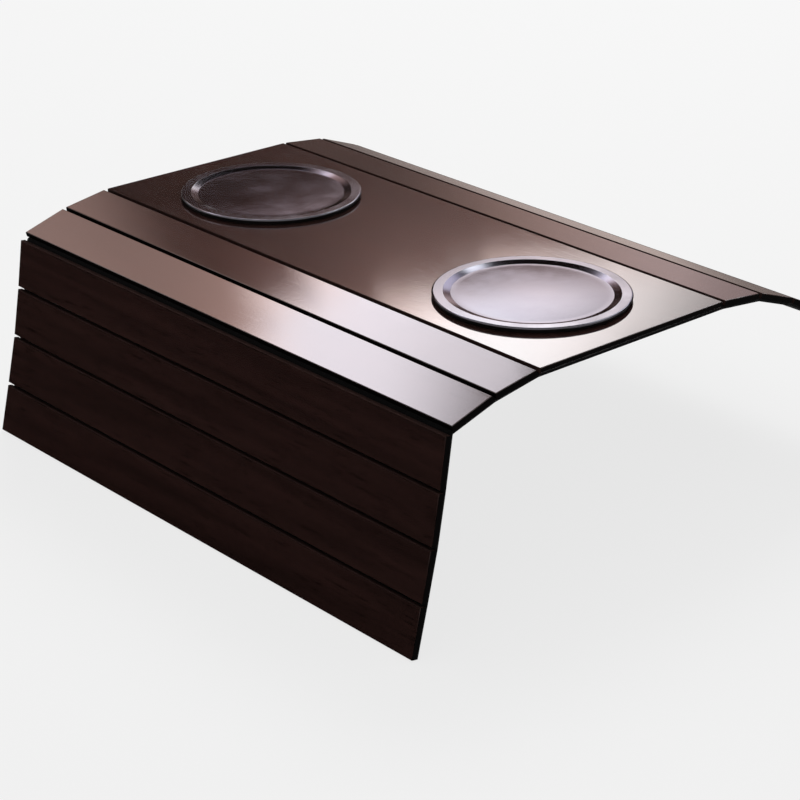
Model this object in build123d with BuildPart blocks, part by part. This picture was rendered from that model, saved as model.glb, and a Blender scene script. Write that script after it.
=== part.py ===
from build123d import *
from math import cos, radians, sin
import os

# Sofa arm tray: a wide board and two rows of slats on one sheet of felt, with two cup dishes.
# Origin: under the middle of the centre board, where the felt rests on top of the sofa's arm.
# +X to the tray's right, +Y to its back, +Z up. Millimetres.

# Boards and slats
tray_length = 340.0
centre_width = 126.0
slat_width = 26.0
slat_gap = 1.7
board_thickness = 2.8
board_edge_round = 0.45

# Felt sheet, all but flush with the boards at the front and shorter than them at the back
felt_thickness = 1.5
felt_front_setback = 0.2
felt_rear_setback = 2.0

# Slopes of the slats below level, in degrees, from the centre outwards
left_slope_angles = (9.4, 17.2, 82.0, 80.5, 77.6, 77.0)
right_slope_angles = (6.2, 19.6, 26.0, 26.5, 27.0, 27.3)

# Cup dishes, pressed from thin metal: a floor, a sloped wall, a level rim and a rolled lip
dish_radius = 49.7
dish_metal_thickness = 0.6
dish_height = 2.8
dish_floor_height = 1.7
rim_width = 5.6
wall_width = 3.8
rim_roll_radius = 0.9
dish_bend_radius = 0.5

# Centres of the dishes: from the board's front end, from its back end, and to the right
front_dish_setback = 67.1
rear_dish_setback = 68.9
dish_side_offset = -1.6

# Rubber ring in the hollow of each dish's rim, and adhesive pad under its floor
ring_setback = 1.0
ring_wall_clearance = 0.3
pad_edge_clearance = 0.4

# A straight run of a bend's curve, as a share of the gap it spans
bend_handle_share = 1 / 3

felt_middle = felt_thickness / 2
board_top = felt_thickness + board_thickness
felt_length = tray_length - felt_front_setback - felt_rear_setback
felt_shift = (felt_front_setback - felt_rear_setback) / 2
rim_inner_radius = dish_radius - rim_width
dish_floor_radius = rim_inner_radius - wall_width
rim_hollow_height = dish_height - dish_metal_thickness
floor_under_height = dish_floor_height - dish_metal_thickness
os.makedirs("parts", exist_ok=True)


def save(piece, name):
    """Names one finished piece and writes its file."""
    piece.label = name
    export_step(piece, f"parts/{name}.step")


def strip_plane(side, place, slope, shift=0):
    """A cross-section plane at one point of the felt's middle layer, shifted towards the back.

    Its x runs outwards along a strip that lies at that slope, and its y stands up from the felt.
    """
    along = (side * cos(radians(slope)), 0, -sin(radians(slope)))
    return Plane(origin=(place[0], shift, place[1]), x_dir=along, z_dir=(0, -side, 0))


def board(plane, start, width):
    """A board with softened top edges, from start outwards, on the felt's upper face."""
    with BuildPart() as piece:
        with BuildSketch(plane):
            with Locations((start + width / 2, felt_middle + board_thickness / 2)):
                Rectangle(width, board_thickness)
        extrude(amount=tray_length / 2, both=True)
        top = piece.faces().sort_by(Axis(plane.origin, plane.y_dir))[-1]
        fillet(top.edges(), board_edge_round)
    return piece.part


def felt_panel(plane, start, width):
    """The flat stretch of felt under one board."""
    with BuildPart() as piece:
        with BuildSketch(plane):
            with Locations((start + width / 2, 0)):
                Rectangle(width, felt_thickness)
        extrude(amount=felt_length / 2, both=True)
    return piece.part


def felt_fold(plane, bend):
    """The bare strip of felt in one gap, curved through the bend between its two slats."""
    half = radians(bend / 2)
    handle = slat_gap * bend_handle_share
    arrive = Vector(cos(half), sin(half))
    leave = Vector(cos(half), -sin(half))
    stand_before = Vector(-sin(half), cos(half)) * (felt_thickness / 2)
    stand_after = Vector(sin(half), cos(half)) * (felt_thickness / 2)
    first = arrive * (-slat_gap / 2)
    last = leave * (slat_gap / 2)
    upper = first + stand_before, last + stand_after
    lower = first - stand_before, last - stand_after
    with BuildPart() as piece:
        with BuildSketch(plane):
            with BuildLine():
                Bezier(upper[0], upper[0] + arrive * handle, upper[1] - leave * handle, upper[1])
                Line(upper[1], lower[1])
                Bezier(lower[1], lower[1] - leave * handle, lower[0] + arrive * handle, lower[0])
                Line(lower[0], upper[0])
            make_face()
        extrude(amount=felt_length / 2, both=True)
    return piece.part


def wing(side, name, slopes):
    """One row of slats, each hung from the one before it by a fold of the felt."""
    place = (side * (centre_width / 2 + slat_gap / 2), felt_middle)
    slope_before = 0
    for count, slope in enumerate(slopes, start=1):
        bend = slope - slope_before
        board_plane = strip_plane(side, place, slope)
        felt_plane = strip_plane(side, place, slope, felt_shift)
        fold_plane = strip_plane(side, place, slope - bend / 2, felt_shift)
        save(board(board_plane, slat_gap / 2, slat_width), f"{name}_slat_{count}")
        save(felt_panel(felt_plane, slat_gap / 2, slat_width), f"{name}_felt_{count}")
        save(felt_fold(fold_plane, bend), f"{name}_felt_fold_{count}")
        print(f"{name} hinge {count} at x {place[0]:.3f} z {place[1]:.3f}, bend {bend:.1f}")
        pitch = slat_width + slat_gap
        reach = side * pitch * cos(radians(slope))
        drop = pitch * sin(radians(slope))
        place = (place[0] + reach, place[1] - drop)
        slope_before = slope


def dish(plane):
    """A pressed metal dish: flat floor, sloped wall, level rim and a rolled lip."""
    roll_start = dish_radius - rim_roll_radius
    lip_radius = rim_roll_radius - dish_metal_thickness
    lip_bottom = dish_height - rim_roll_radius
    with BuildPart() as piece:
        with BuildSketch(plane):
            with BuildLine():
                upper = FilletPolyline(
                    (0, dish_floor_height),
                    (dish_floor_radius, dish_floor_height),
                    (rim_inner_radius, dish_height),
                    (roll_start, dish_height),
                    radius=dish_bend_radius,
                )
                outer = RadiusArc(upper @ 1, (dish_radius, lip_bottom), rim_roll_radius)
                edge = Line(outer @ 1, (dish_radius - dish_metal_thickness, lip_bottom))
                inner = RadiusArc(edge @ 1, (roll_start, rim_hollow_height), -lip_radius)
                lower = FilletPolyline(
                    inner @ 1,
                    (rim_inner_radius, rim_hollow_height),
                    (dish_floor_radius, floor_under_height),
                    (0, floor_under_height),
                    radius=dish_bend_radius,
                )
                Line(lower @ 1, upper @ 0)
            make_face()
        revolve(axis=Axis(plane.origin, plane.y_dir))
    return piece.part


def rubber_ring(plane):
    """The black ring that fills the hollow of the rim and stands on the board."""
    outer_radius = dish_radius - ring_setback
    width = outer_radius - (rim_inner_radius + ring_wall_clearance)
    with BuildPart() as piece:
        with BuildSketch(plane):
            with Locations((outer_radius - width / 2, rim_hollow_height / 2)):
                Rectangle(width, rim_hollow_height)
        revolve(axis=Axis(plane.origin, plane.y_dir))
    return piece.part


def foam_pad(plane):
    """The adhesive disc between the board and the dish's floor."""
    radius = dish_floor_radius - pad_edge_clearance
    with BuildPart() as piece:
        with BuildSketch(plane):
            with Locations((radius / 2, floor_under_height / 2)):
                Rectangle(radius, floor_under_height)
        revolve(axis=Axis(plane.origin, plane.y_dir))
    return piece.part


# Centre board and the felt under it
board_plane = strip_plane(1, (0, felt_middle), 0)
felt_plane = strip_plane(1, (0, felt_middle), 0, felt_shift)
save(board(board_plane, -centre_width / 2, centre_width), "centre_board")
save(felt_panel(felt_plane, -centre_width / 2, centre_width), "centre_felt")

# Rows of slats
wing(-1, "left", left_slope_angles)
wing(1, "right", right_slope_angles)

# Dishes, one towards the front and one towards the back
front_dish_place = -tray_length / 2 + front_dish_setback
rear_dish_place = tray_length / 2 - rear_dish_setback
for name, dish_place in (("front", front_dish_place), ("rear", rear_dish_place)):
    dish_middle = (dish_side_offset, dish_place, board_top)
    dish_plane = Plane(origin=dish_middle, x_dir=(1, 0, 0), z_dir=(0, -1, 0))
    save(dish(dish_plane), f"{name}_dish")
    save(rubber_ring(dish_plane), f"{name}_dish_ring")
    save(foam_pad(dish_plane), f"{name}_dish_pad")
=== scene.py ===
import bpy
from math import atan2, cos, exp, pi, radians, sin
from mathutils import Matrix, Vector


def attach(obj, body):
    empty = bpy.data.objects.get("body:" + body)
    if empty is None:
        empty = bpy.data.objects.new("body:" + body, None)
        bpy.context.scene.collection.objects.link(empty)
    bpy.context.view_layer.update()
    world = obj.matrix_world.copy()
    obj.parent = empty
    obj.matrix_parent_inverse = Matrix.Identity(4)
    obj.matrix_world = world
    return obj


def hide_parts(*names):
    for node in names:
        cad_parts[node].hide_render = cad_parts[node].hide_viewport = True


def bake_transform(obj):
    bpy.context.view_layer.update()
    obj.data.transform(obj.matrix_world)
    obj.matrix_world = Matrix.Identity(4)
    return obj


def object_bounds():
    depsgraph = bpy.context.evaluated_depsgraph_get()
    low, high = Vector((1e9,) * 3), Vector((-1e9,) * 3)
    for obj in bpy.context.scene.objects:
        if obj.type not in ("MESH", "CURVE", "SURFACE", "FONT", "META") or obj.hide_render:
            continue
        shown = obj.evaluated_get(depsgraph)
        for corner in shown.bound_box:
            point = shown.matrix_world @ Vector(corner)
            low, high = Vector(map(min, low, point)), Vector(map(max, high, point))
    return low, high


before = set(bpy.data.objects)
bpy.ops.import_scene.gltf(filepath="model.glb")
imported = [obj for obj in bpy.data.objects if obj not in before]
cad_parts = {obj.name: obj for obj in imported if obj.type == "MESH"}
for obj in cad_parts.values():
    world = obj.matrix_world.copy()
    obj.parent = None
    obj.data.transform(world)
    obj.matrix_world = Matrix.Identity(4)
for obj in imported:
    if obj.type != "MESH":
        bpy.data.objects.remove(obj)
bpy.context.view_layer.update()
mm = 0.001

# Camera: stands low to the left of the tray's front end, about 1.2 m off, on a long portrait lens.
# Its place, turn and lens were solved from the straight board edges and the two round dishes.
camera_place = Vector((-767.494, -860.339, 423.292)) * mm
camera_azimuth = radians(-41.865)
camera_elevation = radians(23.846)
camera_roll = radians(0.175)
camera_data = bpy.data.cameras.new("camera")
camera_data.lens = 105.397
camera_data.sensor_width = 36
camera = bpy.data.objects.new("camera", camera_data)
bpy.context.collection.objects.link(camera)
camera.matrix_world = (
    Matrix.Translation(camera_place)
    @ Matrix.Rotation(camera_azimuth, 4, "Z")
    @ Matrix.Rotation(pi / 2 - camera_elevation, 4, "X")
    @ Matrix.Rotation(camera_roll, 4, "Z")
)
bpy.context.scene.camera = camera


# Slats and centre board: thin hardwood strips, stained espresso brown and sprayed with a satin
# lacquer. The top edges are rounded over, the ends and undersides painted black, and the outer long
# edges black too as painted shade. One slat is milled, and the others are copies of it.
def linear(hex_colour):
    """A #rrggbb colour as it is written, in linear light, with its alpha."""
    parts = [int(hex_colour[i:i + 2], 16) / 255 for i in (1, 3, 5)]
    return [c / 12.92 if c <= 0.04045 else ((c + 0.055) / 1.055) ** 2.4 for c in parts] + [1]


def add_node(tree, kind, links=None, **settings):
    """A node of that kind. Settings are its properties, or its inputs by name where it has them."""
    node = tree.nodes.new(kind)
    for name, value in settings.items():
        if hasattr(node, name):
            setattr(node, name, value)
        else:
            node.inputs[name.replace("_", " ")].default_value = value
    for name, source in (links or {}).items():
        tree.links.new(source, node.inputs[name])
    return node


def new_material(name):
    """An empty node material and its tree."""
    material = bpy.data.materials.new(name)
    material.use_nodes = True
    material.node_tree.nodes.clear()
    return material, material.node_tree


# Satin lacquer over stained wood: dark brown with long faint grain, and a clear top that mirrors
# a lamp softly. Pores are 0.4 mm wide and 8 mm long, the spray's orange peel is about 1.6 mm wide.
grain_width, grain_length = 7 * mm, 160 * mm
pore_pitch, pore_run = 0.8 * mm, 16 * mm
mottle_size = 14 * mm
peel_size = 1.6 * mm

espresso_lacquer, tree = new_material("espresso_satin_lacquer")
place = add_node(tree, "ShaderNodeTexCoord").outputs["Object"]
grain_place = add_node(
    tree, "ShaderNodeMapping", {"Vector": place}, Scale=(1 / grain_width, 1 / grain_length, 1 / grain_width)
).outputs["Vector"]
pore_place = add_node(
    tree, "ShaderNodeMapping", {"Vector": place}, Scale=(1 / pore_pitch, 1 / pore_run, 1 / pore_pitch)
).outputs["Vector"]
grain = add_node(
    tree, "ShaderNodeTexNoise", {"Vector": grain_place}, Scale=1.0, Detail=5.0, Roughness=0.6
).outputs["Fac"]
pores = add_node(
    tree, "ShaderNodeTexNoise", {"Vector": pore_place}, Scale=1.0, Detail=2.0, Roughness=0.5
).outputs["Fac"]
mottle = add_node(
    tree, "ShaderNodeTexNoise", {"Vector": place}, Scale=1 / mottle_size, Detail=4.0, Roughness=0.62
).outputs["Fac"]
peel = add_node(
    tree, "ShaderNodeTexNoise", {"Vector": place}, Scale=1 / peel_size, Detail=2.0, Roughness=0.5
).outputs["Fac"]
stain = add_node(tree, "ShaderNodeValToRGB", {"Fac": grain})
stain.color_ramp.elements[0].position = 0.30
stain.color_ramp.elements[0].color = linear("#241715")
stain.color_ramp.elements[1].position = 0.72
stain.color_ramp.elements[1].color = linear("#372320")
pore_depth = add_node(
    tree, "ShaderNodeMapRange", {"Value": pores}, From_Min=0.30, From_Max=0.42, To_Min=0.0, To_Max=1.0
).outputs["Result"]
shaded = add_node(
    tree, "ShaderNodeMixRGB", {"Fac": pore_depth, "Color2": stain.outputs["Color"]}, Color1=linear("#190f0d")
).outputs["Color"]
dulling = add_node(
    tree, "ShaderNodeMapRange", {"Value": mottle}, From_Min=0.3, From_Max=0.7, To_Min=0.19, To_Max=0.27
).outputs["Result"]
pore_bump = add_node(
    tree, "ShaderNodeBump", {"Height": pore_depth}, Strength=0.08, Distance=0.02 * mm
).outputs["Normal"]
peel_bump = add_node(
    tree, "ShaderNodeBump", {"Height": peel, "Normal": pore_bump}, Strength=0.12, Distance=0.02 * mm
).outputs["Normal"]
lacquer = add_node(
    tree,
    "ShaderNodeBsdfPrincipled",
    {"Base Color": shaded, "Roughness": dulling, "Normal": peel_bump, "Coat Normal": peel_bump},
    IOR=1.5,
    Specular_IOR_Level=0.04,
    Specular_Tint=linear("#a86c58"),
    Coat_Weight=1.0,
    Coat_Roughness=0.055,
    Coat_IOR=2.0,
)
add_node(tree, "ShaderNodeOutputMaterial", {"Surface": lacquer.outputs["BSDF"]})

# Edge stain: the inner long edges are only sawn and stained, so they are matt, rough and brown. Saw
# marks 0.5 mm apart run along them.
saw_pitch, saw_run = 0.5 * mm, 5 * mm

edge_stain, tree = new_material("matt_edge_stain")
place = add_node(tree, "ShaderNodeTexCoord").outputs["Object"]
saw_place = add_node(
    tree, "ShaderNodeMapping", {"Vector": place}, Scale=(1 / saw_pitch, 1 / saw_run, 1 / saw_pitch)
).outputs["Vector"]
saw = add_node(
    tree, "ShaderNodeTexNoise", {"Vector": saw_place}, Scale=1.0, Detail=3.0, Roughness=0.6
).outputs["Fac"]
saw_colour = add_node(tree, "ShaderNodeValToRGB", {"Fac": saw})
saw_colour.color_ramp.elements[0].position = 0.35
saw_colour.color_ramp.elements[0].color = linear("#261815")
saw_colour.color_ramp.elements[1].position = 0.7
saw_colour.color_ramp.elements[1].color = linear("#3a2723")
saw_bump = add_node(
    tree, "ShaderNodeBump", {"Height": saw}, Strength=0.4, Distance=0.05 * mm
).outputs["Normal"]
sawn = add_node(
    tree,
    "ShaderNodeBsdfPrincipled",
    {"Base Color": saw_colour.outputs["Color"], "Normal": saw_bump},
    Roughness=0.85,
    Specular_IOR_Level=0.15,
)
add_node(tree, "ShaderNodeOutputMaterial", {"Surface": sawn.outputs["BSDF"]})

# Black edge paint: brushed on the ends and the underside, thin and a little uneven, so it has only a
# dull shine. On the outer long edges the same black is painted shade, where those faces turn away from
# the light. Brush marks 0.6 mm apart run along it.
brush_width, brush_pitch = 3 * mm, 0.6 * mm

edge_paint_and_shade, tree = new_material("black_edge_paint_and_shade")
place = add_node(tree, "ShaderNodeTexCoord").outputs["Object"]
brush_place = add_node(
    tree, "ShaderNodeMapping", {"Vector": place}, Scale=(1 / brush_width, 1 / brush_width, 1 / brush_pitch)
).outputs["Vector"]
brush = add_node(
    tree, "ShaderNodeTexNoise", {"Vector": brush_place}, Scale=1.0, Detail=3.0, Roughness=0.6
).outputs["Fac"]
brush_and_shade_colour = add_node(tree, "ShaderNodeValToRGB", {"Fac": brush})
brush_and_shade_colour.color_ramp.elements[0].position = 0.35
brush_and_shade_colour.color_ramp.elements[0].color = linear("#040303")
brush_and_shade_colour.color_ramp.elements[1].position = 0.75
brush_and_shade_colour.color_ramp.elements[1].color = linear("#0b0808")
brush_bump = add_node(
    tree, "ShaderNodeBump", {"Height": brush}, Strength=0.3, Distance=0.03 * mm
).outputs["Normal"]
paint_and_shade = add_node(
    tree,
    "ShaderNodeBsdfPrincipled",
    {"Base Color": brush_and_shade_colour.outputs["Color"], "Normal": brush_bump},
    Roughness=0.8,
    Specular_IOR_Level=0.05,
)
add_node(tree, "ShaderNodeOutputMaterial", {"Surface": paint_and_shade.outputs["BSDF"]})

tray_length = 340 * mm
board_width = 126 * mm
slat_width = 26 * mm
slat_gap = 1.7 * mm
board_thickness = 2.8 * mm
edge_round = 0.45 * mm
edge_round_steps = 4
smoothing_angle = radians(40)
felt_thickness = 1.5 * mm
felt_middle = felt_thickness / 2

# How far along an axis a face's normal points if it faces that way, leans that way or is flat
facing, leaning, flat = 0.9, 0.05, 0.999

# Slopes of the slats below level, in degrees, from the centre outwards
left_slopes = (9.4, 17.2, 82.0, 80.5, 77.6, 77.0)
right_slopes = (6.2, 19.6, 26.0, 26.5, 27.0, 27.3)


def milled_board(name, width):
    """A strip with its top edges rounded over, flat on z 0, its inner long edge on x 0."""
    bpy.ops.object.select_all(action="DESELECT")
    bpy.ops.mesh.primitive_cube_add(size=1)
    strip = bpy.context.object
    strip.name = name
    strip.scale = (width, tray_length, board_thickness)
    strip.location = (width / 2, 0, board_thickness / 2)
    bpy.ops.object.transform_apply(location=True, rotation=False, scale=True)
    for edge in strip.data.edges:
        edge.select = all(strip.data.vertices[v].co.z > board_thickness / 2 for v in edge.vertices)
    for face in strip.data.polygons:
        face.select = False
    bpy.ops.object.mode_set(mode="EDIT")
    bpy.ops.mesh.select_mode(type="EDGE")
    bpy.ops.mesh.bevel(offset=edge_round, segments=edge_round_steps, profile=0.5, affect="EDGES")
    bpy.ops.object.mode_set(mode="OBJECT")
    surfaces = [espresso_lacquer, edge_stain, edge_paint_and_shade]
    for surface in surfaces:
        strip.data.materials.append(surface)
    # Ends and underside get the black paint, outer long edges the same black as painted shade
    for face in strip.data.polygons:
        end_or_outer = abs(face.normal.y) > facing or face.normal.x > facing
        if end_or_outer or face.normal.z < -facing:
            face.material_index = surfaces.index(edge_paint_and_shade)
        elif face.normal.x < -leaning:
            face.material_index = surfaces.index(edge_stain)
    bpy.ops.object.shade_smooth_by_angle(angle=smoothing_angle)
    for face in strip.data.polygons:
        if max(abs(part) for part in face.normal) > flat:
            face.use_smooth = False
    return strip


def placed_copy(pattern, name, matrix):
    """A copy with its own mesh, laid at its place in the tray with its object at the origin."""
    piece = pattern.copy()
    piece.data = pattern.data.copy()
    piece.name = name
    bpy.context.collection.objects.link(piece)
    piece.data.transform(matrix)
    piece.matrix_world = Matrix.Identity(4)
    return piece


def strip_matrix(side, place, slope):
    """Turns a strip's own x, y, z into outwards, back and up from the felt at one hinge."""
    across = Vector((side * cos(slope), 0, -sin(slope)))
    along = Vector((0, side, 0))
    up = across.cross(along)
    turn = Matrix((across, along, up)).transposed().to_4x4()
    return Matrix.Translation((place[0], 0, place[1])) @ turn


def row(side, slopes):
    """Each strip's hinge point, its slope and the slope before it, from the centre outwards."""
    place = (side * (board_width / 2 + slat_gap / 2), felt_middle)
    before = 0
    for slope in slopes:
        yield place, radians(slope), radians(before)
        reach = (slat_width + slat_gap) * cos(radians(slope))
        drop = (slat_width + slat_gap) * sin(radians(slope))
        place = (place[0] + side * reach, place[1] - drop)
        before = slope


rows = (("left", -1, left_slopes), ("right", 1, right_slopes))
centre_board = milled_board("centre_board_lacquered", board_width)
centre_board.data.transform(Matrix.Translation((-board_width / 2, 0, felt_thickness)))
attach(centre_board, "middle")
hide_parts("centre_board")

slat_pattern = milled_board("slat_pattern", slat_width)
slat_pattern.data.transform(Matrix.Translation((slat_gap / 2, 0, felt_middle)))
for name, side, slopes in rows:
    for count, (place, slope, _) in enumerate(row(side, slopes), start=1):
        slat = placed_copy(slat_pattern, f"{name}_slat_{count}_lacquered", strip_matrix(side, place, slope))
        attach(slat, f"{name}_strip_{count}")
        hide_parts(f"{name}_slat_{count}")
bpy.data.objects.remove(slat_pattern)


# Felt: one sheet of black needle felt, 1.5 mm thick, hot-glued to the underside of every strip.
# It is the hinge: bare stretches of it show in the gaps, and bend there with the strips.
felt_front_setback = 0.2 * mm
felt_rear_setback = 2 * mm
felt_length = tray_length - felt_front_setback - felt_rear_setback
felt_shift = (felt_front_setback - felt_rear_setback) / 2
fold_steps = 8
panel_steps = 10
centre_steps = 30
length_steps = 168
column_digits = 7
bend_handle = slat_gap / 3

# Needle felt has no weave: short fibres lie every way, matted, and their loose ends catch light.
# Fibres are 0.03 mm thick, and are drawn about 0.5 mm wide so that they show.
fibre_size, matting_size = 0.9 * mm, 9 * mm

needle_felt, tree = new_material("black_needle_felt")
place = add_node(tree, "ShaderNodeTexCoord").outputs["Object"]
fibres = add_node(
    tree,
    "ShaderNodeTexNoise",
    {"Vector": place},
    Scale=1 / fibre_size,
    Detail=4.0,
    Roughness=0.7,
    Distortion=1.2,
).outputs["Fac"]
matting = add_node(
    tree, "ShaderNodeTexNoise", {"Vector": place}, Scale=1 / matting_size, Detail=3.0, Roughness=0.6
).outputs["Fac"]
fibre_colour = add_node(tree, "ShaderNodeValToRGB", {"Fac": fibres})
fibre_colour.color_ramp.elements[0].position = 0.35
fibre_colour.color_ramp.elements[0].color = linear("#060606")
fibre_colour.color_ramp.elements[1].position = 0.72
fibre_colour.color_ramp.elements[1].color = linear("#121112")
tufted = add_node(tree, "ShaderNodeMath", {0: fibres, 1: matting}, operation="ADD").outputs["Value"]
felt_bump = add_node(
    tree, "ShaderNodeBump", {"Height": tufted}, Strength=0.7, Distance=0.25 * mm
).outputs["Normal"]
felt_surface = add_node(
    tree,
    "ShaderNodeBsdfPrincipled",
    {"Base Color": fibre_colour.outputs["Color"], "Normal": felt_bump},
    Roughness=0.95,
    Specular_IOR_Level=0.08,
    Sheen_Weight=0.04,
    Sheen_Roughness=0.5,
)
add_node(tree, "ShaderNodeOutputMaterial", {"Surface": felt_surface.outputs["BSDF"]})


def felt_strip(name, width, steps):
    """A flat strip of felt of full thickness, in even steps, from x 0 outwards, about z 0."""
    bpy.ops.object.select_all(action="DESELECT")
    bpy.ops.mesh.primitive_grid_add(x_subdivisions=steps, y_subdivisions=length_steps, size=1)
    strip = bpy.context.object
    strip.name = name
    strip.scale = (width, felt_length, 1)
    strip.location = (width / 2, 0, 0)
    bpy.ops.object.transform_apply(location=True, rotation=False, scale=True)
    solid = strip.modifiers.new("thickness", "SOLIDIFY")
    solid.thickness = felt_thickness
    solid.offset = 0
    bpy.ops.object.modifier_apply(modifier=solid.name)
    strip.data.materials.append(needle_felt)
    return strip


def fold_point(share, bend):
    """The middle of a fold and its upward direction, at a share of the way across the gap."""
    arrive = Vector((cos(bend / 2), sin(bend / 2)))
    leave = Vector((cos(bend / 2), -sin(bend / 2)))
    first, last = arrive * (-slat_gap / 2), leave * (slat_gap / 2)
    points = first, first + arrive * bend_handle, last - leave * bend_handle, last
    rest = 1 - share
    middle = (
        points[0] * rest**3
        + points[1] * 3 * rest**2 * share
        + points[2] * 3 * rest * share**2
        + points[3] * share**3
    )
    run = (
        (points[1] - points[0]) * rest**2
        + (points[2] - points[1]) * 2 * rest * share
        + (points[3] - points[2]) * share**2
    ).normalized()
    return middle, Vector((-run.y, run.x))


centre_felt = felt_strip("centre_felt_sheet", board_width, centre_steps)
centre_felt.data.transform(Matrix.Translation((-board_width / 2, felt_shift, felt_middle)))
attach(centre_felt, "middle")
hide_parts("centre_felt")

bend_pattern = felt_strip("felt_pattern", slat_gap + slat_width, fold_steps + panel_steps)
columns = sorted({round(v.co.x, column_digits) for v in bend_pattern.data.vertices})
stations = [slat_gap * i / fold_steps for i in range(fold_steps + 1)]
stations += [slat_gap + slat_width * i / panel_steps for i in range(1, panel_steps + 1)]
for vertex in bend_pattern.data.vertices:
    vertex.co.x = stations[columns.index(round(vertex.co.x, column_digits))]
for name, side, slopes in rows:
    for count, (place, slope, before) in enumerate(row(side, slopes), start=1):
        bend = slope - before
        piece = placed_copy(bend_pattern, f"{name}_felt_bend_{count}", Matrix.Identity(4))
        across = strip_matrix(side, place, slope)
        fold_across = strip_matrix(side, place, (slope + before) / 2)
        for vertex in piece.data.vertices:
            out, back, height = vertex.co
            if out <= slat_gap:
                middle, up = fold_point(out / slat_gap, bend)
                spot = middle + up * height
                vertex.co = fold_across @ Vector((spot.x, back, spot.y))
            else:
                vertex.co = across @ Vector((out - slat_gap / 2, back, height))
        piece.data.transform(Matrix.Translation((0, felt_shift, 0)))
        for face in piece.data.polygons:
            face.use_smooth = True
        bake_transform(piece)
        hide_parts(f"{name}_felt_{count}", f"{name}_felt_fold_{count}")
bpy.data.objects.remove(bend_pattern)


# Cup dishes: pressed from 0.6 mm stainless steel, with a level rim whose outer edge is rolled
# down, and polished. Each stands on a black rubber ring and is held down by a disc of foam.
dish_radius = 49.7 * mm
dish_metal = 0.6 * mm
dish_height = 2.8 * mm
dish_floor_height = 1.7 * mm
rim_inner_radius = 44.1 * mm
dish_floor_radius = 40.3 * mm
rim_roll = 0.9 * mm
dish_bend = 0.5 * mm
floor_swell = 0.35 * mm
floor_ring_count = 12
corner_steps = 4
roll_steps = 6
flat_margin = 0.15 * mm
long_stretch = 4 * flat_margin
weld_reach = 0.002 * mm
axis_reach = 1e-7
dish_turn_steps = 192
crease_angle = radians(50)
board_top = felt_thickness + board_thickness
dish_places = (("front", -102.9 * mm), ("rear", 101.1 * mm))
dish_side = -1.6 * mm

# Polished stainless steel with a dark smoky tint, a little lighter on the rim, that mirrors the lamp
# as a milky glow. Faint round tool marks, 0.2 mm apart, and wiping smears break it up.
smear_size = 22 * mm
marks_round, marks_across = 40.0, 240.0
rim_start, rim_whole = 0.81, 0.89

spun_steel, tree = new_material("polished_spun_steel")
uv_place = add_node(tree, "ShaderNodeTexCoord").outputs["UV"]
smear_place = add_node(tree, "ShaderNodeTexCoord").outputs["Object"]
smears = add_node(
    tree, "ShaderNodeTexNoise", {"Vector": smear_place}, Scale=1 / smear_size, Detail=4.0, Roughness=0.6
).outputs["Fac"]
marks_place = add_node(
    tree, "ShaderNodeMapping", {"Vector": uv_place}, Scale=(marks_round, marks_across, 1.0)
).outputs["Vector"]
marks = add_node(
    tree, "ShaderNodeTexNoise", {"Vector": marks_place}, Scale=1.0, Detail=2.0, Roughness=0.6
).outputs["Fac"]
steel_tint = add_node(tree, "ShaderNodeValToRGB", {"Fac": smears})
steel_tint.color_ramp.elements[0].position = 0.3
steel_tint.color_ramp.elements[0].color = linear("#62616b")
steel_tint.color_ramp.elements[1].position = 0.7
steel_tint.color_ramp.elements[1].color = linear("#7a7985")
from_middle = add_node(tree, "ShaderNodeSeparateXYZ", {"Vector": uv_place}).outputs["Y"]
on_rim = add_node(
    tree,
    "ShaderNodeMapRange",
    {"Value": from_middle},
    From_Min=rim_start,
    From_Max=rim_whole,
    To_Min=0.0,
    To_Max=1.0,
).outputs["Result"]
steel_colour = add_node(
    tree, "ShaderNodeMixRGB", {"Fac": on_rim, "Color1": steel_tint.outputs["Color"]}, Color2=linear("#7e7f88")
).outputs["Color"]
steel_dulling = add_node(
    tree, "ShaderNodeMapRange", {"Value": smears}, From_Min=0.3, From_Max=0.7, To_Min=0.11, To_Max=0.17
).outputs["Result"]
mark_bump = add_node(
    tree, "ShaderNodeBump", {"Height": marks}, Strength=0.08, Distance=0.01 * mm
).outputs["Normal"]
steel = add_node(
    tree,
    "ShaderNodeBsdfPrincipled",
    {"Base Color": steel_colour, "Roughness": steel_dulling, "Normal": mark_bump},
    Metallic=1.0,
)
add_node(tree, "ShaderNodeOutputMaterial", {"Surface": steel.outputs["BSDF"]})


def rounded(corners, bend):
    """Points along a line through the corners, with a small arc at each one between the ends."""
    points = [corners[0]]
    for before, corner, after in zip(corners, corners[1:], corners[2:]):
        back, on = (before - corner).normalized(), (after - corner).normalized()
        half = back.angle(on) / 2
        run = bend / abs(sin(half) / cos(half))
        centre = corner + (back + on).normalized() * (bend / sin(half))
        start, end = corner + back * run - centre, corner + on * run - centre
        for step in range(corner_steps + 1):
            share = step / corner_steps
            points.append(centre + (start * (1 - share) + end * share).normalized() * bend)
    return points + [corners[-1]]


def held_flat(points):
    """The same points, and one close to each end of every long stretch, so that it shades flat."""
    held = []
    for start, end in zip(points, points[1:]):
        held.append(start)
        if (end - start).length > long_stretch:
            step = (end - start).normalized() * flat_margin
            held += [start + step, end - step]
    return held + [points[-1]]


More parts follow.
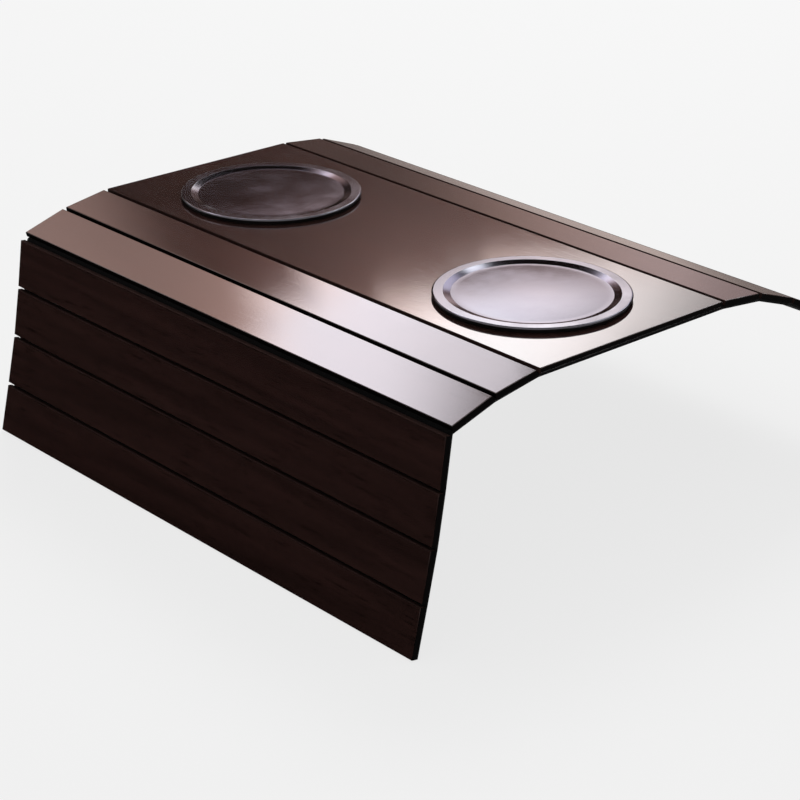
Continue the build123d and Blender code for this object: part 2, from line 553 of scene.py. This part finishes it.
def spun(name, points, steps):
    """A solid of revolution about z from a closed outline of (radius, height) points."""
    mesh = bpy.data.meshes.new(name)
    count = len(points)
    mesh.from_pydata([(p[0], 0, p[1]) for p in points], [(i, i + 1) for i in range(count - 1)], [])
    piece = bpy.data.objects.new(name, mesh)
    bpy.context.collection.objects.link(piece)
    bpy.ops.object.select_all(action="DESELECT")
    piece.select_set(True)
    bpy.context.view_layer.objects.active = piece
    bpy.ops.object.mode_set(mode="EDIT")
    bpy.ops.mesh.select_all(action="SELECT")
    bpy.ops.mesh.spin(steps=steps, angle=2 * pi, center=(0, 0, 0), axis=(0, 0, 1))
    bpy.ops.mesh.select_all(action="SELECT")
    bpy.ops.mesh.remove_doubles(threshold=weld_reach)
    bpy.ops.mesh.normals_make_consistent(inside=False)
    bpy.ops.object.mode_set(mode="OBJECT")
    return piece


def polar_uv(piece, radius):
    """UVs that run once round the piece and out along its radius, for marks left by spinning it."""
    layer = piece.data.uv_layers.new(name="UVMap")
    for face in piece.data.polygons:
        middle = atan2(face.center.y, face.center.x)
        for loop in face.loop_indices:
            spot = piece.data.vertices[piece.data.loops[loop].vertex_index].co
            angle = atan2(spot.y, spot.x) if spot.xy.length > axis_reach else middle
            angle += 2 * pi * round((middle - angle) / (2 * pi))
            layer.data[loop].uv = (angle / (2 * pi), spot.xy.length / radius)


hollow = dish_height - dish_metal
floor_under = dish_floor_height - dish_metal
roll_start = dish_radius - rim_roll
lip_bottom = dish_height - rim_roll
upper = rounded(
    [
        Vector((0, dish_floor_height + floor_swell)),
        Vector((dish_floor_radius, dish_floor_height)),
        Vector((rim_inner_radius, dish_height)),
        Vector((roll_start, dish_height)),
    ],
    dish_bend,
)
roll_angles = [radians(90 / roll_steps * i) for i in range(roll_steps + 1)]
roll = [Vector((roll_start + rim_roll * sin(a), lip_bottom + rim_roll * cos(a))) for a in roll_angles[1:]]
lip = rim_roll - dish_metal
inner_roll = [Vector((roll_start + lip * sin(a), lip_bottom + lip * cos(a))) for a in roll_angles[::-1]]
lower = rounded(
    [
        Vector((roll_start, hollow)),
        Vector((rim_inner_radius, hollow)),
        Vector((dish_floor_radius, floor_under)),
        Vector((0, floor_under)),
    ],
    dish_bend,
)
floor_rings = [
    Vector((dish_floor_radius * share, dish_floor_height + floor_swell * (1 - share**2)))
    for share in (i / floor_ring_count for i in range(1, floor_ring_count))
]
outline = [upper[0]] + floor_rings + held_flat(upper[1:] + roll)
outline += inner_roll + held_flat(lower[1:])
dish_pattern = spun("dish_pattern", outline, dish_turn_steps)
dish_pattern.data.materials.append(spun_steel)
polar_uv(dish_pattern, dish_radius)
bpy.ops.object.shade_smooth_by_angle(angle=crease_angle)
for name, along in dish_places:
    dish = placed_copy(
        dish_pattern, f"{name}_dish_polished", Matrix.Translation((dish_side, along, board_top))
    )
    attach(dish, "middle")
    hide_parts(f"{name}_dish")
bpy.data.objects.remove(dish_pattern)


# Rubber ring: a black moulded ring in the hollow of the rim, on which the dish stands. Its black is
# also painted shade, for the dark gap under the rolled lip. Its corners are rounded by the mould, and
# its skin is matt.
ring_setback = 1.0 * mm
ring_wall_clearance = 0.3 * mm
ring_outer = dish_radius - ring_setback
ring_inner = rim_inner_radius + ring_wall_clearance
ring_round = 0.35 * mm
ring_turn_steps = 160

# Moulded rubber: a matt black skin, a little uneven from the mould, with pits about 0.7 mm wide. The
# black is partly painted shade, for the gap under the rolled lip.
pit_size = 0.7 * mm

rubber_and_gap_shade, tree = new_material("black_rubber_and_gap_shade")
place = add_node(tree, "ShaderNodeTexCoord").outputs["Object"]
skin = add_node(
    tree, "ShaderNodeTexNoise", {"Vector": place}, Scale=1 / pit_size, Detail=3.0, Roughness=0.6
).outputs["Fac"]
skin_and_shade_colour = add_node(tree, "ShaderNodeValToRGB", {"Fac": skin})
skin_and_shade_colour.color_ramp.elements[0].position = 0.3
skin_and_shade_colour.color_ramp.elements[0].color = linear("#060606")
skin_and_shade_colour.color_ramp.elements[1].position = 0.75
skin_and_shade_colour.color_ramp.elements[1].color = linear("#0f0f10")
skin_bump = add_node(
    tree, "ShaderNodeBump", {"Height": skin}, Strength=0.3, Distance=0.05 * mm
).outputs["Normal"]
rubber = add_node(
    tree,
    "ShaderNodeBsdfPrincipled",
    {"Base Color": skin_and_shade_colour.outputs["Color"], "Normal": skin_bump},
    Roughness=0.7,
    Specular_IOR_Level=0.35,
)
add_node(tree, "ShaderNodeOutputMaterial", {"Surface": rubber.outputs["BSDF"]})

ring_middle = (ring_outer + ring_inner) / 2
ring_corners = [
    Vector((ring_middle, 0)),
    Vector((ring_outer, 0)),
    Vector((ring_outer, hollow)),
    Vector((ring_inner, hollow)),
    Vector((ring_inner, 0)),
    Vector((ring_middle, 0)),
]
ring_pattern = spun("ring_pattern", rounded(ring_corners, ring_round), ring_turn_steps)
ring_pattern.data.materials.append(rubber_and_gap_shade)
bpy.ops.object.shade_smooth_by_angle(angle=crease_angle)
for name, along in dish_places:
    ring = placed_copy(
        ring_pattern, f"{name}_ring_rubber_and_gap_shade", Matrix.Translation((dish_side, along, board_top))
    )
    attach(ring, "middle")
    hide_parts(f"{name}_dish_ring")
bpy.data.objects.remove(ring_pattern)


# Foam pad: a die-cut disc of closed-cell foam with glue on both faces, out of sight under the
# dish's floor, slightly squeezed so that its cut edge bulges.
pad_edge_clearance = 0.4 * mm
pad_radius = dish_floor_radius - pad_edge_clearance
pad_turn_steps = 96

# Closed-cell foam: matt and black, and its cut edge shows cells about 0.8 mm wide.
cell_size = 0.8 * mm

cell_foam, tree = new_material("black_cell_foam")
place = add_node(tree, "ShaderNodeTexCoord").outputs["Object"]
cells = add_node(tree, "ShaderNodeTexVoronoi", {"Vector": place}, Scale=1 / cell_size).outputs["Distance"]
cell_colour = add_node(tree, "ShaderNodeValToRGB", {"Fac": cells})
cell_colour.color_ramp.elements[0].color = linear("#0a0a0a")
cell_colour.color_ramp.elements[1].color = linear("#1c1c1d")
cell_bump = add_node(
    tree, "ShaderNodeBump", {"Height": cells}, Strength=0.5, Distance=0.2 * mm
).outputs["Normal"]
foam = add_node(
    tree,
    "ShaderNodeBsdfPrincipled",
    {"Base Color": cell_colour.outputs["Color"], "Normal": cell_bump},
    Roughness=0.9,
)
add_node(tree, "ShaderNodeOutputMaterial", {"Surface": foam.outputs["BSDF"]})

# The cut edge from below: how far it draws in, and at which share of the pad's height
pad_edge = ((0.15 * mm, 0), (0.04 * mm, 0.25), (0, 0.5), (0.04 * mm, 0.75), (0.15 * mm, 1))
pad_outline = [Vector((0, 0))]
pad_outline += [Vector((pad_radius - inset, floor_under * share)) for inset, share in pad_edge]
pad_outline += [Vector((0, floor_under))]
pad_pattern = spun("pad_pattern", pad_outline, pad_turn_steps)
pad_pattern.data.materials.append(cell_foam)
bpy.ops.object.shade_smooth_by_angle(angle=crease_angle)
for name, along in dish_places:
    pad = placed_copy(pad_pattern, f"{name}_pad_foam", Matrix.Translation((dish_side, along, board_top)))
    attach(pad, "middle")
    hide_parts(f"{name}_dish_pad")
bpy.data.objects.remove(pad_pattern)


# Floor: a wide sheet of pale paper under the tray, as a studio has, that keeps the tray's soft shadow.
# Camera and gloss see it mostly as an even near white, so its own glow is mixed in for them.
floor_size = 12
floor_clearance = 0.3 * mm
fleck_size = 60 * mm
glow_share = 0.84

sweep, tree = new_material("pale_sweep_paper")
place = add_node(tree, "ShaderNodeTexCoord").outputs["Object"]
fleck = add_node(
    tree, "ShaderNodeTexNoise", {"Vector": place}, Scale=1 / fleck_size, Detail=2.0
).outputs["Fac"]
paper_colour = add_node(tree, "ShaderNodeValToRGB", {"Fac": fleck})
paper_colour.color_ramp.elements[0].color = linear("#f1f1f1")
paper_colour.color_ramp.elements[1].color = linear("#f3f3f3")
paper = add_node(
    tree, "ShaderNodeBsdfDiffuse", {"Color": paper_colour.outputs["Color"]}
).outputs["BSDF"]
glow = add_node(tree, "ShaderNodeEmission", Color=linear("#f6f6f6"), Strength=1.0).outputs["Emission"]
path = add_node(tree, "ShaderNodeLightPath")
seen = add_node(
    tree,
    "ShaderNodeMath",
    {0: path.outputs["Is Camera Ray"], 1: path.outputs["Is Glossy Ray"]},
    operation="MAXIMUM",
).outputs["Value"]
seen = add_node(
    tree, "ShaderNodeMath", {0: seen, 1: path.outputs["Is Transmission Ray"]}, operation="MAXIMUM"
).outputs["Value"]
share = add_node(tree, "ShaderNodeMath", {0: seen}, operation="MULTIPLY")
share.inputs[1].default_value = glow_share
mixed = add_node(tree, "ShaderNodeMixShader", {"Fac": share.outputs["Value"], 1: paper, 2: glow})
add_node(tree, "ShaderNodeOutputMaterial", {"Surface": mixed.outputs["Shader"]})

floor_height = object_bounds()[0][2] - floor_clearance
bpy.ops.object.select_all(action="DESELECT")
bpy.ops.mesh.primitive_plane_add(size=floor_size, location=(0, 0, floor_height))
floor = bpy.context.object
floor.name = "floor"
floor.data.materials.append(sweep)


# Reflection screen: a curved studio screen all round the tray that only shines in gloss, as a lamp's
# diffuser over a dark curtain does. It lights nothing, and the camera doesn't see it. A place on it
# has an azimuth, clockwise from straight behind the tray, and an elevation, both in degrees.
screen_radius = 15
screen_foot, screen_step = -3, 1

# Tints: how much of each light's brightness its red, green and blue have
curtain_tint = (1.32, 0.88, 0.78)
glow_tint = (1.85, 0.78, 0.58)
rosy_tint = (1.04, 0.97, 1.05)
cool_tint = (1.0, 1.0, 1.02)
warm_tint = (1.25, 0.93, 0.86)
blush_tint = (1.05, 0.98, 0.975)
lilac_tint = (1.02, 0.94, 1.12)
pale_tint = (1.2, 0.91, 0.9)
room_tint = (1.08, 0.98, 0.95)

# The lamp: a bright band above an edge that runs through these directions. It is deepest on the
# left, and split once by a dark gap. Other pairs are where a change starts and where it is whole.
lamp_edge = ((14, 42.5), (19.8, 38.9), (31.6, 32.1), (41.8, 21.95), (46.3, 20.4), (60, 17.1))
lamp_strength, left_extra = 4.4, 0.5
left_end, right_start = (25, 32), (36, 42)
gap_start, gap_end = (24.3, 25.5), (29, 34)
narrowing, lamp_end = (46.5, 49.5), (45, 54)
lamp_depth, right_loss, gap_loss, end_loss = 6.5, 3, 6.5, 1.5
rim_softness, back_softness = (-0.4, 0.4), 2
left_dimming, right_dimming, right_dimming_share = (3.5, 9.5), (1.5, 6), 0.25
lamp_end_share = 0.97
warm_rim, blush_start = (-0.2, 1.2), (43, 48)

# The glow round the lamp's edge, as a diffuser's cloth spreads it
glow_strength, glow_spread, glow_end = 0.28, 2.2, (46, 60)

# The curtain: dim behind the lamp, lighter to the left, with a low paler strip to the right
curtain_least = 0.015
curtain_folds = ((0.66, (25.3, 28.6)), (0.2, (15.5, 17.5)))
curtain_near_lamp, near_lamp_end, near_lamp_spread = 0.45, (22, 24), 1.8
curtain_foot, curtain_head = (22, 27), (40, 50)
low_foot, low_head, low_end = (3, 8), (12.5, 15.5), (56, 62)
low_least, low_rise, low_fall = 0.08, (0.75, (43, 52.5)), (0.35, (51.5, 54))
low_pale = (46, 53)

# The room beyond the curtain's two ends, its strip lamp and its ceiling
room_right, room_left = (89, 107), (2, 11)
room_least, room_rise, room_fall = 0.04, (0.24, (8, 16)), (0.6, (24, 32))
strip_strength, strip_foot, strip_head = 0.9, (40, 43), (50, 54)
ceiling_rise = (0.25, (56, 62))

# Small soft panels: strength, middle and half size, and the share of its size at which one fades
panel_even = 0.6
lilac_panel = (1.8, (58.5, 24), (5, 12))
white_panels = (
    (5.0, (59.5, 42), (4, 5)),
    (1.2, (8, 30), (8, 9)),
    (4.0, (71, 34), (8, 12)),
    (1.2, (102, 48), (34, 12)),
)


def soft_step(value, start, end):
    """0 before start, 1 after end, and smooth between."""
    share = min(max((value - start) / (end - start), 0), 1)
    return share * share * (3 - 2 * share)


def between(value, rise, fall):
    """1 from the end of the rise to the start of the fall, 0 outside both, and smooth between."""
    return soft_step(value, *rise) * (1 - soft_step(value, *fall))


def mixed_tint(first, second, share):
    """The first tint, changed by that share towards the second."""
    return [f * (1 - share) + s * share for f, s in zip(first, second)]


def above_edge(azimuth, elevation):
    """How far, in degrees, a direction lies beyond the lamp's lower edge. Negative is outside."""
    nearest = 1e9
    for (a0, e0), (a1, e1) in zip(lamp_edge, lamp_edge[1:]):
        run, rise = a1 - a0, e1 - e0
        share = ((azimuth - a0) * run + (elevation - e0) * rise) / (run * run + rise * rise)
        share = min(max(share, 0), 1)
        away = ((azimuth - a0 - share * run) ** 2 + (elevation - e0 - share * rise) ** 2) ** 0.5
        if away < abs(nearest):
            turn = run * (elevation - e0) - rise * (azimuth - a0)
            nearest = away if turn > 0 else -away
    return nearest


def panel(azimuth, elevation, strength, middle, size):
    """The light of an oval panel of that half size, even in the middle and soft at its edge."""
    away = ((azimuth - middle[0]) / size[0]) ** 2 + ((elevation - middle[1]) / size[1]) ** 2
    return strength * (1 - soft_step(away**0.5, panel_even, 1))


def lamp_light(azimuth, beyond):
    """The lamp's brightness there, by how far beyond its edge the direction lies."""
    left = 1 - soft_step(azimuth, *left_end)
    depth = lamp_depth - right_loss * soft_step(azimuth, *right_start)
    depth -= gap_loss * between(azimuth, gap_start, gap_end) + end_loss * soft_step(azimuth, *narrowing)
    light = lamp_strength + left_extra * left
    light *= between(beyond, rim_softness, (depth, depth + back_softness))
    dimming = left * soft_step(beyond, *left_dimming)
    dimming += (1 - left) * right_dimming_share * soft_step(beyond, *right_dimming)
    return light * (1 - dimming) * (1 - lamp_end_share * soft_step(azimuth, *lamp_end))


def low_strip(azimuth, elevation):
    """1 in the middle of the pale strip low on the curtain, and 0 outside it."""
    return between(elevation, low_foot, low_head) * (1 - soft_step(azimuth, *low_end))


def curtain_light(azimuth, elevation, beyond):
    """The curtain's brightness there, with its folds, its lit stretch and its low strip."""
    light = sum(strength * (1 - soft_step(azimuth, *end)) for strength, end in curtain_folds)
    near_lamp = curtain_near_lamp * (1 - soft_step(azimuth, *near_lamp_end))
    light += near_lamp * exp(-abs(beyond) / near_lamp_spread)
    light = curtain_least + light * between(elevation, curtain_foot, curtain_head)
    rise, fall = (share * soft_step(azimuth, *where) for share, where in (low_rise, low_fall))
    return light + low_strip(azimuth, elevation) * (low_least + rise - fall)


def room_light_at(elevation):
    """The room's brightness at that height, with its strip lamp."""
    rise, fall = (share * soft_step(elevation, *where) for share, where in (room_rise, room_fall))
    return room_least + rise * (1 - fall) + strip_strength * between(elevation, strip_foot, strip_head)


def lamp_tint_at(azimuth, beyond):
    """The lamp's tint: rosy to the left, cool, then blushing to the right, and warm along its edge."""
    tint = mixed_tint(rosy_tint, cool_tint, soft_step(azimuth, *right_start))
    tint = mixed_tint(tint, blush_tint, soft_step(azimuth, *blush_start))
    return mixed_tint(tint, warm_tint, 1 - soft_step(beyond, *warm_rim))


def screen_light(azimuth, elevation):
    """The screen's brightness in each colour in that direction."""
    beyond = above_edge(azimuth, elevation)
    in_room = max(soft_step(azimuth, *room_right), 1 - soft_step(azimuth, *room_left))
    lamp = lamp_light(azimuth, beyond)
    glow = glow_strength * exp(-abs(beyond) / glow_spread) * (1 - soft_step(elevation, *glow_end))
    curtain = curtain_light(azimuth, elevation, beyond) * (1 - in_room) + room_light_at(elevation) * in_room
    lilac = panel(azimuth, elevation, *lilac_panel)
    white = sum(panel(azimuth, elevation, *one) for one in white_panels)
    white += ceiling_rise[0] * soft_step(elevation, *ceiling_rise[1])
    pale = low_strip(azimuth, elevation) * soft_step(azimuth, *low_pale)
    backing_tint = mixed_tint(mixed_tint(curtain_tint, pale_tint, pale), room_tint, in_room)
    bare = max(1 - lamp - lilac - white, 0)
    tints = zip(backing_tint, glow_tint, lamp_tint_at(azimuth, beyond), lilac_tint)
    return [(curtain * c + glow * g) * bare + lamp * l + lilac * v + white for c, g, l, v in tints]


def shown_only_in_gloss(piece):
    """Hides a piece of the studio from everything but gloss, and lets it cast no shadow."""
    piece.visible_camera = False
    piece.visible_diffuse = False
    piece.visible_transmission = False
    piece.visible_shadow = False


azimuths = range(-180, 181, screen_step)
elevations = range(screen_foot, 90, screen_step)
points = [
    (
        screen_radius * sin(radians(a)) * cos(radians(e)),
        screen_radius * cos(radians(a)) * cos(radians(e)),
        screen_radius * sin(radians(e)),
    )
    for e in elevations
    for a in azimuths
]
wide = len(azimuths)
faces = [
    (i + j * wide, i + 1 + j * wide, i + 1 + (j + 1) * wide, i + (j + 1) * wide)
    for j in range(len(elevations) - 1)
    for i in range(wide - 1)
]
screen_mesh = bpy.data.meshes.new("reflection_screen")
screen_mesh.from_pydata(points, [], faces)
shine = screen_mesh.color_attributes.new("shine", "FLOAT_COLOR", "POINT")
for i, (e, a) in enumerate((e, a) for e in elevations for a in azimuths):
    shine.data[i].color = screen_light(a, e) + [1]
screen = bpy.data.objects.new("reflection_screen", screen_mesh)
bpy.context.collection.objects.link(screen)
screen_cloth, tree = new_material("lamp_diffuser_over_curtain")
shine_colour = add_node(tree, "ShaderNodeVertexColor", layer_name="shine").outputs["Color"]
screen_glow = add_node(tree, "ShaderNodeEmission", {"Color": shine_colour}, Strength=1.0)
add_node(tree, "ShaderNodeOutputMaterial", {"Surface": screen_glow.outputs["Emission"]})
screen_cloth.cycles.emission_sampling = "NONE"  # only gloss finds it, so rays needn't aim at it
screen_mesh.materials.append(screen_cloth)
shown_only_in_gloss(screen)


# Dark card: lies on the floor all along the tray's left side, so that the hanging slats mirror it
# and not the pale floor. It is black velvet, and only gloss sees it.
card_lift = 0.5 * mm
card_height = floor_height + card_lift
dark_left, dark_right, dark_front, dark_back = -6, -0.14, -6, 2.4
dark_corners = [
    (dark_left, dark_front, card_height),
    (dark_right, dark_front, card_height),
    (dark_right, dark_back, card_height),
    (dark_left, dark_back, card_height),
]
card_mesh = bpy.data.meshes.new("dark_card")
card_mesh.from_pydata(dark_corners, [], [(0, 1, 2, 3)])
card = bpy.data.objects.new("dark_card", card_mesh)
bpy.context.collection.objects.link(card)
card_cloth, tree = new_material("dark_velvet")
velvet = add_node(tree, "ShaderNodeEmission", Color=linear("#120b09"), Strength=1.0)
add_node(tree, "ShaderNodeOutputMaterial", {"Surface": velvet.outputs["Emission"]})
card_mesh.materials.append(card_cloth)
shown_only_in_gloss(card)


# Grey card: lies on the floor to the right, behind the tray, and takes the glare off the slats that
# slope away there. It fades to its back edge, and only gloss sees it. Its rows run across it, each
# at a distance behind the tray's middle, in metres, and with a brightness.
grey_rows = (
    (0.05, 0.10),
    (0.22, 0.20),
    (0.27, 0.33),
    (0.31, 0.54),
    (0.35, 0.54),
    (0.40, 0.49),
    (0.46, 0.48),
    (0.52, 0.39),
    (0.65, 0.24),
    (0.70, 0.17),
    (1.2, 0.12),
)
grey_left, grey_right = 0.22, 3.2
grey_tint = (1.15, 0.93, 0.86)
grey_mesh = bpy.data.meshes.new("grey_card")
grey_mesh.from_pydata(
    [(x, y, card_height) for y, _ in grey_rows for x in (grey_left, grey_right)],
    [],
    [(2 * i, 2 * i + 1, 2 * i + 3, 2 * i + 2) for i in range(len(grey_rows) - 1)],
)
grey_shine = grey_mesh.color_attributes.new("shine", "FLOAT_COLOR", "POINT")
for i, (_, light) in enumerate(grey_rows):
    for corner in (2 * i, 2 * i + 1):
        grey_shine.data[corner].color = [light * part for part in grey_tint] + [1]
grey_card = bpy.data.objects.new("grey_card", grey_mesh)
bpy.context.collection.objects.link(grey_card)
grey_mesh.materials.append(screen_cloth)
shown_only_in_gloss(grey_card)


# Lamps: one wide soft key from the right and behind, high up, and the room's even light.
# Both give plain light only: what the gloss mirrors is the screen above.
key_data = bpy.data.lights.new("key_lamp", "AREA")
key_data.shape = "RECTANGLE"
key_data.size = 1.4
key_data.size_y = 1.0
key_data.energy = 30  # watts
key = bpy.data.objects.new("key_lamp", key_data)
bpy.context.collection.objects.link(key)
key_place = Vector((1.3, 0.9, 1.7))
key.location = key_place
key.rotation_euler = key_place.to_track_quat("Z", "Y").to_euler()
key.visible_glossy = False
key.visible_camera = False

world = bpy.data.worlds.new("studio")
bpy.context.scene.world = world
world.use_nodes = True
tree = world.node_tree
tree.nodes.clear()
path = add_node(tree, "ShaderNodeLightPath")
seen = add_node(
    tree,
    "ShaderNodeMath",
    {0: path.outputs["Is Camera Ray"], 1: path.outputs["Is Glossy Ray"]},
    operation="MAXIMUM",
).outputs["Value"]
seen = add_node(
    tree, "ShaderNodeMath", {0: seen, 1: path.outputs["Is Transmission Ray"]}, operation="MAXIMUM"
).outputs["Value"]
backdrop = add_node(tree, "ShaderNodeBackground", Color=(1, 1, 1, 1), Strength=1.0).outputs["Background"]
room_light = add_node(tree, "ShaderNodeBackground", Color=(1, 1, 1, 1), Strength=0.45).outputs["Background"]
both = add_node(tree, "ShaderNodeMixShader", {"Fac": seen, 1: room_light, 2: backdrop})
add_node(tree, "ShaderNodeOutputWorld", {"Surface": both.outputs["Shader"]})

bpy.context.scene.view_settings.view_transform = "Standard"
